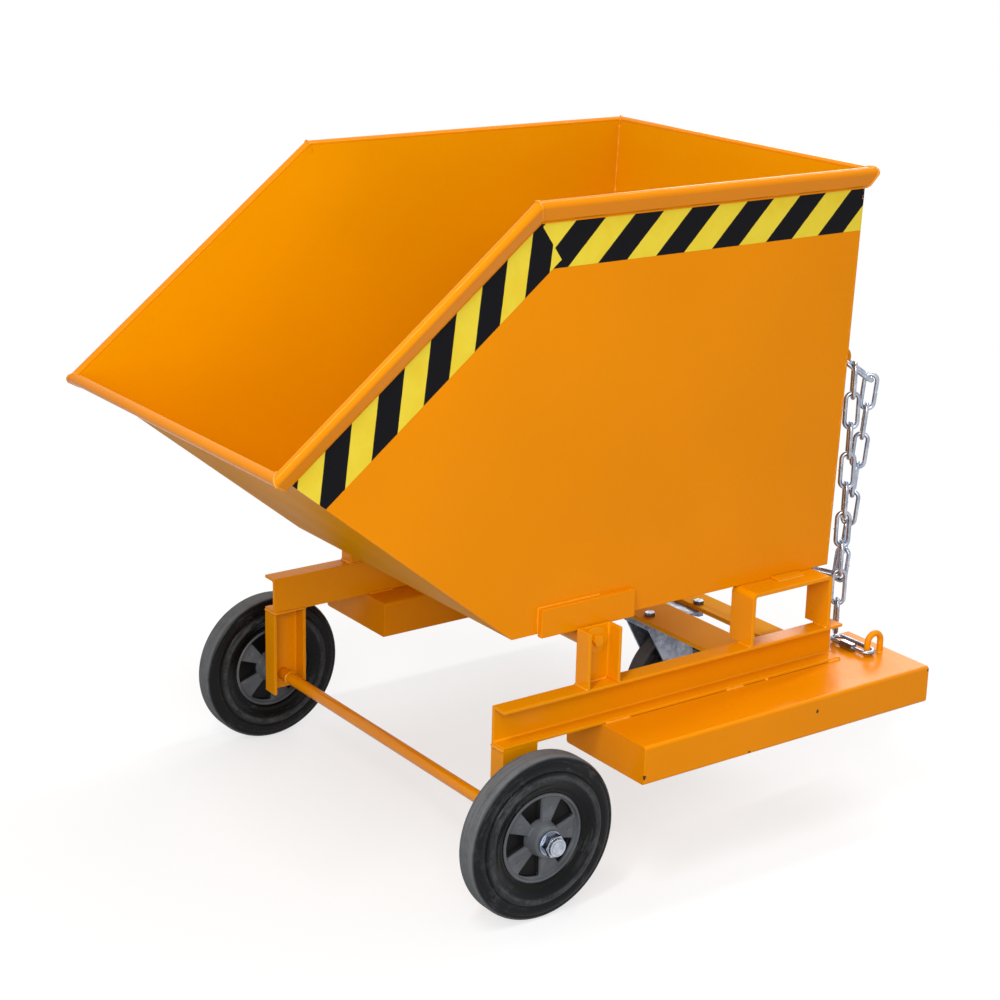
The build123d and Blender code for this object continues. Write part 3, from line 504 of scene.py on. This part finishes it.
def resampled(points, closed):
    """Points at even steps along a line of points."""
    line = points + points[:1] if closed else points
    steps = []
    for start, end in zip(line, line[1:]):
        count = max(1, round((end - start).length / BEAD_STEP))
        steps += [start.lerp(end, i / count) for i in range(count)]
    return steps if closed else steps + [line[-1]]


def join_rings(mesh, rings, closed):
    """Smooth faces from each ring of vertices to the next."""
    count = len(rings[0])
    for a, b in zip(rings, rings[1:] + rings[:1] if closed else rings[1:]):
        for k in range(count):
            n = (k + 1) % count
            mesh.faces.new((a[k], a[n], b[n], b[k])).smooth = True


def noise_place(run, seed, setting):
    rate, apart, level = setting
    return run * rate, seed * apart, level


def add_bead(mesh, points, radius, seed, closed=False):
    """One rippled weld bead, sunk in the corner that it follows."""
    steps = resampled([Vector(p) for p in points], closed)
    last = len(steps) - 1
    rings = []
    for i, place in enumerate(steps):
        before = steps[i - 1] if i or closed else place
        after = steps[(i + 1) % len(steps)] if i < last or closed else place
        along = (after - before).normalized()
        out = along.cross(REFERENCE).normalized()
        other = along.cross(out)
        run = i * BEAD_STEP
        drift = noise.noise_vector(noise_place(run, seed, DRIFT_NOISE)) * radius * DRIFT_SHARE
        size = radius * (1.0 + RIPPLE_SHARE * math.cos(run / RIPPLE * math.tau))
        size *= 1.0 + SWELL_SHARE * noise.noise(noise_place(run, seed, SWELL_NOISE))
        if not closed:
            size *= min(1.0, END_SHARE + min(i, last - i) * END_GROWTH)
        spokes = [out * math.cos(a) + other * math.sin(a) for a in even_angles(BEAD_SIDES)]
        rings.append([mesh.verts.new(place + drift + spoke * size) for spoke in spokes])
    join_rings(mesh, rings, closed)
    if not closed:
        mesh.faces.new(list(reversed(rings[0])))
        mesh.faces.new(rings[-1])


def add_piece(name, mesh, material, body):
    """Turns a bmesh into a piece that rides on a body."""
    bmesh.ops.recalc_face_normals(mesh, faces=mesh.faces[:])
    data = bpy.data.meshes.new(name)
    mesh.to_mesh(data)
    mesh.free()
    data.materials.append(material)
    piece = bpy.data.objects.new(name, data)
    scene.collection.objects.link(piece)
    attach(piece, body)
    return piece


def welds(name, body, beads, coat):
    """A piece with all the beads of a list: points, radius, and True where a bead is closed."""
    mesh = bmesh.new()
    for seed, (points, radius, *closed) in enumerate(beads):
        add_bead(mesh, points, radius, seed, bool(closed))
    add_piece(name, mesh, coat, body)


def hoop(centre, radius, axis):
    """Points of a circle about an axis of the part."""
    first, second = [i for i in range(3) if i != axis]
    points = []
    for angle in even_angles(HOOP_POINTS):
        point = Vector(centre)
        point[first] += radius * math.cos(angle)
        point[second] += radius * math.sin(angle)
        points.append(point)
    return points


def across(x, y0, y1, z):
    """A line over the frame's width."""
    return [(x, y0, z), (x, y1, z)]


def along_x(x0, x1, y, z):
    """A line along the frame."""
    return [(x0, y, z), (x1, y, z)]


# Radii of the beads, by where they are, and of the dark strips of painted shade along the rail seams
WEB_BEAD, STITCH_BEAD, POST_BEAD, LEG_BEAD = 3.6 * mm, 3.2 * mm, 3.0 * mm, 2.6 * mm
BAR_BEAD, ROD_BEAD, PLATE_BEAD, SMALL_BEAD = 2.4 * mm, 2.2 * mm, 2.0 * mm, 1.8 * mm
SHEET_BEAD, SHADE_SEAM_RADIUS = 1.5 * mm, 0.7 * mm
# Stitches between a rail and its pocket: start and end as parts of the seam
STITCHES = ((0.01, 0.11), (0.50, 0.575), (0.665, 0.68), (0.945, 0.998))
CHANNEL_WALL = 5.0 * mm
REST_BAR = 6.5 * mm
AXLE_HEIGHT, AXLE_RADIUS = 125.0 * mm, 10.0 * mm
frame_beads = []
painted_shade_seams = []
for side, sign in SIDES.items():
    rail0, rail1 = corners("rail_" + side)
    inner, outer = sorted((rail0.y, rail1.y), key=abs)
    top, bottom = rail1.z, rail0.z
    pocket0, pocket1 = corners("fork_pocket_" + side)
    seam = rail1.x - pocket0.x
    for y in (outer, inner):
        for start, end in STITCHES:
            stitch = along_x(pocket0.x + start * seam, pocket0.x + end * seam, y, bottom)
            frame_beads.append((stitch, STITCH_BEAD))
        # A thin dark strip along the seam is painted shade in the crevice between rail and pocket
        painted_shade_seams.append((along_x(pocket0.x, rail1.x, y, bottom), SHADE_SEAM_RADIUS))
    leg0, leg1 = corners("leg_" + side)
    for x in (leg0.x, leg1.x):
        frame_beads.append((across(x, inner, outer, bottom), LEG_BEAD))
    frame_beads.append((along_x(leg0.x, leg1.x, inner, bottom), LEG_BEAD))
    axle_place = (leg0.x / 2 + leg1.x / 2, inner, AXLE_HEIGHT)
    frame_beads.append((hoop(axle_place, AXLE_RADIUS, Y_AXIS), ROD_BEAD, True))
    post0, post1 = corners("pivot_post_" + side)
    for x in (post0.x, post1.x):
        frame_beads.append((across(x, inner, outer, top), POST_BEAD))
    web = inner + sign * CHANNEL_WALL
    web_line = along_x(post0.x + CHANNEL_WALL, post1.x - CHANNEL_WALL, web, top)
    frame_beads.append((web_line, WEB_BEAD))
    frame_beads.append((along_x(post0.x, post1.x, inner, top), ROD_BEAD))
    rest0, rest1 = corners("rest_bridge_" + side)
    for x in (rest0.x, rest0.x + REST_BAR, rest1.x - REST_BAR, rest1.x):
        frame_beads.append((across(x, inner, outer, top), POST_BEAD))
    guide0, guide1 = corners("box_guides")
    frame_beads.append((along_x(guide0.x, guide1.x, sign * guide1.y, guide0.z), SMALL_BEAD))
    pocket_inner = min((pocket0.y, pocket1.y), key=abs)
    for bar in ("castor_bar_front", "castor_bar_rear"):
        bar0, bar1 = corners(bar)
        bar_end = sign * bar1.y
        frame_beads.append((along_x(bar0.x, bar1.x, bar_end, bar1.z), BAR_BEAD))
        for x in (bar0.x, bar1.x):
            frame_beads.append((across(x, pocket_inner, bar_end, bar0.z), BAR_BEAD))
eye0, eye1 = corners("chain_eye")
eye_radius = (eye1.y - eye0.y) / 2
for x in (eye0.x + eye_radius, eye1.x - eye_radius):
    foot = (x, (eye0.y + eye1.y) / 2, eye0.z)
    frame_beads.append((hoop(foot, eye_radius, Z_AXIS), SMALL_BEAD, True))
welds("frame_welds", "chassis", frame_beads, weld_coat)
# The seam strips are painted shade, in the shade tone of the orange
welds("painted_shade_seams", "chassis", painted_shade_seams, seam_shade)

# Beads of the box: gaps at a bead's end, and the part of a pivot plate's top that has a bead
LIP_GAP, RIM_GAP, PLATE_GAP = 12.0 * mm, 3 * SHEET, 1.0 * mm
PLATE_SPLIT = 0.66
# Thickness of a handle lug, and how near to a mitre its vertices lie
LUG = 6.0 * mm
MITRE_REACH = 0.02 * mm
slope_way = Vector((-LIP_REACH, 0.0, LIP_RISE)).normalized()
slope_in = Vector((slope_way.z, 0.0, -slope_way.x)) * SHEET
fold_x = floor0.x + SHEET * math.tan(math.atan2(LIP_RISE, LIP_REACH) / 2)
rear_foot_x = rear_x(floor1.z) - SHEET
box_beads = []
for side, sign in SIDES.items():
    wall = sign * floor1.y
    face = sign * (floor1.y + SHEET)
    rear_foot = Vector((rear_foot_x, wall, floor1.z))
    rear_head = Vector((rear_x(rim_z) - SHEET, wall, rim_z - RIM_GAP))
    front_foot = Vector((fold_x, wall, floor1.z))
    lip_head = Vector((lip_x, wall, lip_z)) + slope_in - slope_way * LIP_GAP
    box_beads.append(([rear_foot, rear_head], STITCH_BEAD))
    box_beads.append(([front_foot, rear_foot], SHEET_BEAD))
    box_beads.append(([front_foot, lip_head], SHEET_BEAD))
    plate0, plate1 = corners("pivot_plate_" + side)
    split_x = plate0.x + PLATE_SPLIT * (plate1.x - plate0.x)
    box_beads.append((along_x(plate0.x, split_x, face, plate1.z), PLATE_BEAD))
    for x in (plate0.x, plate1.x):
        box_beads.append(([(x, face, floor0.z + PLATE_GAP), (x, face, plate1.z)], PLATE_BEAD))
box_beads.append((across(rear_foot_x, floor0.y, floor1.y, floor1.z), SHEET_BEAD))


def mitre_ring(node, corner, normal):
    """Outline of a rim's cut end, from the vertices that lie in the mitre."""
    vertices = nodes[node].data.vertices
    found = [v.co for v in vertices if abs((v.co - corner).dot(normal)) < MITRE_REACH]
    first = normal.orthogonal().normalized()
    second = normal.cross(first).normalized()
    flat = [((p - corner).dot(first), (p - corner).dot(second)) for p in found]
    return [found[i].copy() for i in geometry.convex_hull_2d(flat)]


for side, sign in SIDES.items():
    face = sign * (floor1.y + SHEET)
    lip_corner = Vector((lip_x, face, lip_z))
    knee_corner = Vector((knee_x, face, rim_z))
    rear_corner = Vector((rear_x(rim_z), face, rim_z))
    climb = (knee_corner - lip_corner).normalized()
    level = Vector((1.0, 0.0, 0.0))
    cross = Vector((0.0, -sign, 0.0))
    mitres = (
        ("rim_slope_", lip_corner, climb - cross, PLATE_BEAD),
        ("rim_top_", knee_corner, climb + level, SHEET_BEAD),
        ("rim_top_", rear_corner, level + cross, PLATE_BEAD),
    )
    for stem, place, normal, radius in mitres:
        box_beads.append((mitre_ring(stem + side, place, normal.normalized()), radius, True))
lug0, lug1 = corners("handle_lugs")
for y in (lug0.y, lug0.y + LUG, lug1.y - LUG, lug1.y):
    box_beads.append(([(rear_x(z), y, z) for z in (lug0.z, lug1.z)], PLATE_BEAD))
welds("box_welds", "box", box_beads, weld_coat)

# A small burr where each chain link was welded shut
LINK_WIRE = 7.0 * mm
BURR = 0.8 * mm
BURR_POINTS = 12
SAME_PLACE_DIGITS = 6


def separate_links():
    """Vertices of each chain link, found by what its edges and shared places join."""
    data = nodes["chain_links"].data
    home = list(range(len(data.vertices)))
    spots = {}

    def root(i):
        while home[i] != i:
            home[i] = home[home[i]]
            i = home[i]
        return i

    joined = [tuple(edge.vertices) for edge in data.edges]
    for vertex in data.vertices:
        spot = tuple(round(part, SAME_PLACE_DIGITS) for part in vertex.co)
        joined.append((vertex.index, spots.setdefault(spot, vertex.index)))
    for first, second in joined:
        home[root(first)] = root(second)
    links = {}
    for vertex in data.vertices:
        links.setdefault(root(vertex.index), []).append(vertex.co)
    return list(links.values())


def longest(vectors):
    return max(vectors, key=lambda vector: vector.length)


def link_burr(points):
    """Ring about the middle of one side of a link."""
    centre = sum(points, Vector()) / len(points)
    offsets = [p - centre for p in points]
    long_way = longest(offsets).normalized()
    wide = longest([offset - long_way * offset.dot(long_way) for offset in offsets])
    side_way = wide.normalized()
    thin_way = long_way.cross(side_way)
    place = centre + wide - side_way * LINK_WIRE / 2
    spokes = [side_way * math.cos(a) + thin_way * math.sin(a) for a in even_angles(BURR_POINTS)]
    return [place + spoke * LINK_WIRE / 2 for spoke in spokes]


burrs = bmesh.new()
for seed, link in enumerate(separate_links()):
    add_bead(burrs, link_burr(link), BURR, seed, True)
add_piece("chain_burrs", burrs, zinc_plate, "chain")

# Moulded wheel rims: a face turned about the axle, with pockets between five spokes. First the radii,
# from the bore to the tyre's seat, then the distances of the face from the wheel's middle plane.
SPOKES = 5
SECTOR_STEPS = 44
BORE, BOSS, BOSS_EDGE = 14.0 * mm, 23.0 * mm, 25.0 * mm
HUB_END = BOSS_EDGE + 2.0 * mm
POCKET_IN, POCKET_OUT = 26.0 * mm, 62.0 * mm
BAND_START, BAND_END = POCKET_OUT + 0.5 * mm, POCKET_OUT + 2.5 * mm
SEAT = 69.0 * mm
SEAT_START = SEAT - 3.0 * mm
HUB_REACH, BAND_REACH, SEAT_DROP = 29.5 * mm, 15.5 * mm, 2.5 * mm
SPOKE_HUB, SPOKE_BAND, POCKET_FLOOR = 13.0 * mm, 9.5 * mm, 2.0 * mm
# Distances from the middle plane at which painted shade starts in the rim's pockets, and at which it is
# nearly black
SHADE_START_REACH, SHADE_FULL_REACH = 7.5 * mm, 4.5 * mm
# Spoke's part of its sector, run of a pocket's wall, and the dimple in each spoke
SPOKE_SHARE = 0.47
WALL_RUN = 2.2 * mm
DIMPLE_AT, DIMPLE_RADIUS, DIMPLE_DEPTH, DIMPLE_FLAT = 48.0 * mm, 2.6 * mm, 1.6 * mm, 0.6
RING_MARGIN = 0.5 * mm


def smooth_step(low, high, value):
    """Soft step from 0 at low to 1 at high."""
    share = min(1.0, max(0.0, (value - low) / (high - low)))
    return share * share * (3.0 - 2.0 * share)


def face_height(radius, angle):
    """Distance of the rim's face from the wheel's middle plane."""
    if radius <= BOSS:
        return HUB_REACH
    sector = math.tau / SPOKES
    off = abs((angle + sector / 2) % sector - sector / 2) * radius
    half_spoke = SPOKE_SHARE * sector * radius / 2
    share = (radius - BOSS_EDGE) / (POCKET_OUT - BOSS_EDGE)
    spoke = SPOKE_HUB + (SPOKE_BAND - SPOKE_HUB) * min(1.0, max(0.0, share))
    away = math.hypot(off, radius - DIMPLE_AT)
    spoke -= DIMPLE_DEPTH * (1.0 - smooth_step(DIMPLE_RADIUS * DIMPLE_FLAT, DIMPLE_RADIUS, away))
    pocket = smooth_step(half_spoke - WALL_RUN / 2, half_spoke + WALL_RUN / 2, off)
    pocket *= smooth_step(POCKET_IN, POCKET_IN + WALL_RUN, radius)
    pocket *= 1.0 - smooth_step(POCKET_OUT - WALL_RUN, POCKET_OUT, radius)
    height = spoke + (POCKET_FLOOR - spoke) * pocket
    height += (HUB_REACH - height) * (1.0 - smooth_step(BOSS, HUB_END, radius))
    height += (BAND_REACH - height) * smooth_step(BAND_START, BAND_END, radius)
    return height - SEAT_DROP * smooth_step(SEAT_START, SEAT, radius)


def face_radii():
    """Radii of the face's rings, close together where it turns.

    Each stop has its radius, and the count of rings up to the next stop.
    """
    stops = (
        (BORE, 3), (BOSS, 6), (HUB_END + RING_MARGIN, 5), (POCKET_IN + WALL_RUN + 2 * RING_MARGIN, 14),
        (POCKET_OUT - WALL_RUN, 5), (BAND_START, 5), (BAND_END + RING_MARGIN, 2), (SEAT_START, 3),
        (SEAT, 0),
    )
    radii = []
    for (start, count), (end, _) in zip(stops, stops[1:]):
        radii += [start + (end - start) * i / count for i in range(count)]
    return radii + [SEAT]


def wheel_ring(mesh, middle, radius, reaches):
    """Ring of vertices about an axle, each at its own distance along the axle."""
    ring = []
    for angle, reach in zip(even_angles(len(reaches)), reaches):
        out = Vector((radius * math.cos(angle), reach, radius * math.sin(angle)))
        ring.append(mesh.verts.new(middle + out))
    return ring


def moulded_rim(side):
    """One wheel rim in place of the plainer solid."""
    middle, _ = centre_of("wheel_rim_" + side)
    mesh = bmesh.new()
    near, far = [], []
    for sign, rings in ((-1.0, near), (1.0, far)):
        for radius in face_radii():
            reaches = [sign * face_height(radius, a) for a in even_angles(SPOKES * SECTOR_STEPS)]
            rings.append(wheel_ring(mesh, middle, radius, reaches))
    join_rings(mesh, near + far[::-1], True)
    # The rim's pockets take painted shade
    finish = moulded("moulded_rim_" + side, middle.y, SHADE_START_REACH, SHADE_FULL_REACH)
    piece = add_piece("moulded_rim_" + side, mesh, finish, "wheel_" + side)
    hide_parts("wheel_rim_" + side)


# Tyre wall, run by run from the rim's seat to the tread: part of the wall's height where the run ends,
# depth there below the wall's crest in mm, and the run's form
TYRE_FOOT_DEPTH = 7.6
TYRE_RUNS = (
    (0.09, 7.3, "straight"), (0.41, 0.0, "flank"), (0.575, 3.8, "round"),
    (0.59, 3.8, "straight"), (0.604, 2.6, "straight"), (0.83, 3.7, "straight"),
    (0.847, 4.4, "straight"), (0.864, 3.9, "straight"), (1.0, 14.5, "round"),
)
CURVE_STEPS = 10
TYRE_STEPS = 180
# A mould line on each half of the tread: distance from the middle, half width and depth
TREAD_LINE, TREAD_LINE_HALF, TREAD_LINE_DEPTH = 4.0 * mm, 0.6 * mm, 0.4 * mm


def tyre_wall():
    """Points of the tyre wall's section, as parts of its height and depths in mm."""
    points = [(0.0, TYRE_FOOT_DEPTH)]
    for end_part, end_depth, form in TYRE_RUNS:
        part, depth = points[-1]
        steps = 1 if form == "straight" else CURVE_STEPS
        for i in range(1, steps + 1):
            along = fall = i / steps
            if form == "round":
                along, fall = math.sin(along * math.pi / 2), 1.0 - math.cos(along * math.pi / 2)
            elif form == "flank":
                fall = smooth_step(0.0, 1.0, along)
            points.append((part + (end_part - part) * along, depth + (end_depth - depth) * fall))
    return points


def moulded_tyre(side):
    """One tyre with its mould lines, in place of the plainer solid."""
    node = "tyre_" + side
    middle, half = centre_of(node)
    radius, half_width = half.z, half.y
    wall = radius - SEAT
    half_section = [(SEAT + part * wall, half_width - depth * mm) for part, depth in tyre_wall()]
    half_section += [
        (radius, TREAD_LINE + TREAD_LINE_HALF), (radius - TREAD_LINE_DEPTH, TREAD_LINE),
        (radius, TREAD_LINE - TREAD_LINE_HALF), (radius, TREAD_LINE / 2),
    ]
    section = half_section + [(r, -y) for r, y in reversed(half_section)]
    mesh = bmesh.new()
    rings = [wheel_ring(mesh, middle, r, [y] * TYRE_STEPS) for r, y in section]
    join_rings(mesh, rings, True)
    finish = nodes[node].data.materials[0]
    piece = add_piece("moulded_" + node, mesh, finish, "wheel_" + side)
    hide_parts(node)


for side in SIDES:
    moulded_rim(side)
    moulded_tyre(side)

# Camera at the photograph's view
CAMERA_PLACE = (-1.88054, -2.6208, 1.5240)
YAW, PITCH, ROLL = 0.629, 0.310, 0.025
SENSOR, LENS = 36.0, 79.0
forward = Vector((math.sin(YAW) * math.cos(PITCH), math.cos(YAW) * math.cos(PITCH), -math.sin(PITCH)))
level_right = Vector((math.cos(YAW), -math.sin(YAW), 0.0))
level_up = level_right.cross(forward)
right = level_right * math.cos(ROLL) + level_up * math.sin(ROLL)
up = level_up * math.cos(ROLL) - level_right * math.sin(ROLL)
camera_data = bpy.data.cameras.new("camera")
camera_data.sensor_fit = "HORIZONTAL"
camera_data.sensor_width = SENSOR
camera_data.lens = LENS
camera = bpy.data.objects.new("camera", camera_data)
scene.collection.objects.link(camera)
turned = Matrix((right, up, -forward)).transposed().to_4x4()
camera.matrix_world = Matrix.Translation(CAMERA_PLACE) @ turned
scene.camera = camera

# Lamps: name, place, aim, width and height, and power
LAMPS = (
    ("key", (-2.6, -3.0, 2.4), (0.0, 0.0, 0.6), (2.4, 1.0), 74.0),
    ("low_fill", (-2.0, -3.6, 0.9), (0.0, 0.0, 0.4), (2.6, 1.0), 30.0),
    ("overhead", (1.7, 0.1, 3.2), (0.0, 0.0, 0.4), (0.2, 2.8), 36.0),
    ("front_top", (-1.6, -1.2, 3.1), (0.2, 0.0, 0.75), (0.25, 1.6), 40.0),
    ("rear_fill", (2.8, 1.8, 1.8), (0.1, 0.0, 0.5), (1.6, 0.8), 28.0),
)
for name, place, aim, size, power in LAMPS:
    lamp_data = bpy.data.lights.new(name, "AREA")
    lamp_data.shape = "RECTANGLE"
    lamp_data.size, lamp_data.size_y = size
    lamp_data.energy = power
    lamp = bpy.data.objects.new(name, lamp_data)
    scene.collection.objects.link(lamp)
    lamp.location = place
    lamp.rotation_euler = (Vector(aim) - Vector(place)).to_track_quat("-Z", "Y").to_euler()


def path_seen(tree):
    """One for a ray that comes from the camera, a reflection or clear glass."""
    ray = tree.nodes.new("ShaderNodeLightPath")
    seen = ray.outputs["Is Camera Ray"]
    for name in ("Is Glossy Ray", "Is Transmission Ray"):
        either = tree.nodes.new("ShaderNodeMath")
        either.operation = "MAXIMUM"
        tree.links.new(seen, either.inputs[0])
        tree.links.new(ray.outputs[name], either.inputs[1])
        seen = either.outputs[0]
    return seen


def spread(tree, value, low, high):
    """Takes a value from 0 and 1 to low and high."""
    made = tree.nodes.new("ShaderNodeMapRange")
    tree.links.new(value, made.inputs["Value"])
    made.inputs["To Min"].default_value = low
    made.inputs["To Max"].default_value = high
    return made.outputs["Result"]


# White surroundings that light the object less than they show
WORLD_LIGHT, WORLD_SHOWN = 0.56, 1.0
world = bpy.data.worlds.new("studio")
world.use_nodes = True
background = world.node_tree.nodes["Background"]
background.inputs["Color"].default_value = (1.0, 1.0, 1.0, 1.0)
sky_level = spread(world.node_tree, path_seen(world.node_tree), WORLD_LIGHT, WORLD_SHOWN)
world.node_tree.links.new(sky_level, background.inputs["Strength"])
scene.world = world

# Pale floor: it takes the object's shadow, and fades to white away from the object
FLOOR_HALF = 40.0
FLOOR_DROP = 0.5 * mm
FLOOR_ROUGHNESS = 0.9
FLOOR_BOUNCE, FLOOR_SHOWN = 0.42, 0.97
FADE_START, FADE_END = 0.75, 1.9
SHADOW_LIFT = 0.65
floor_mesh = bpy.data.meshes.new("floor")
ground = [(-FLOOR_HALF, -FLOOR_HALF, 0), (FLOOR_HALF, -FLOOR_HALF, 0)]
ground += [(FLOOR_HALF, FLOOR_HALF, 0), (-FLOOR_HALF, FLOOR_HALF, 0)]
floor_mesh.from_pydata(ground, [], [(0, 1, 2, 3)])
floor = bpy.data.objects.new("floor", floor_mesh)
floor.location.z = -FLOOR_DROP
scene.collection.objects.link(floor)
pale = Shader("pale_floor", specular=0.0)
pale.bsdf.inputs["Roughness"].default_value = FLOOR_ROUGHNESS
shown = path_seen(pale.tree)
pale.colour(spread(pale.tree, shown, FLOOR_BOUNCE, FLOOR_SHOWN))
far = pale.ramp(pale.vector_math("LENGTH", pale.place).outputs["Value"], FADE_START, FADE_END)
glow = pale.node("ShaderNodeEmission")
fade = pale.node("ShaderNodeMixShader")
pale.link(pale.math("MULTIPLY", pale.math("MAXIMUM", far, SHADOW_LIFT), shown), fade.inputs[0])
pale.link(pale.bsdf.outputs[0], fade.inputs[1])
pale.link(glow.outputs[0], fade.inputs[2])
pale.link(fade.outputs[0], pale.tree.nodes["Material Output"].inputs["Surface"])
floor_mesh.materials.append(pale.material)

scene.view_settings.view_transform = "Standard"
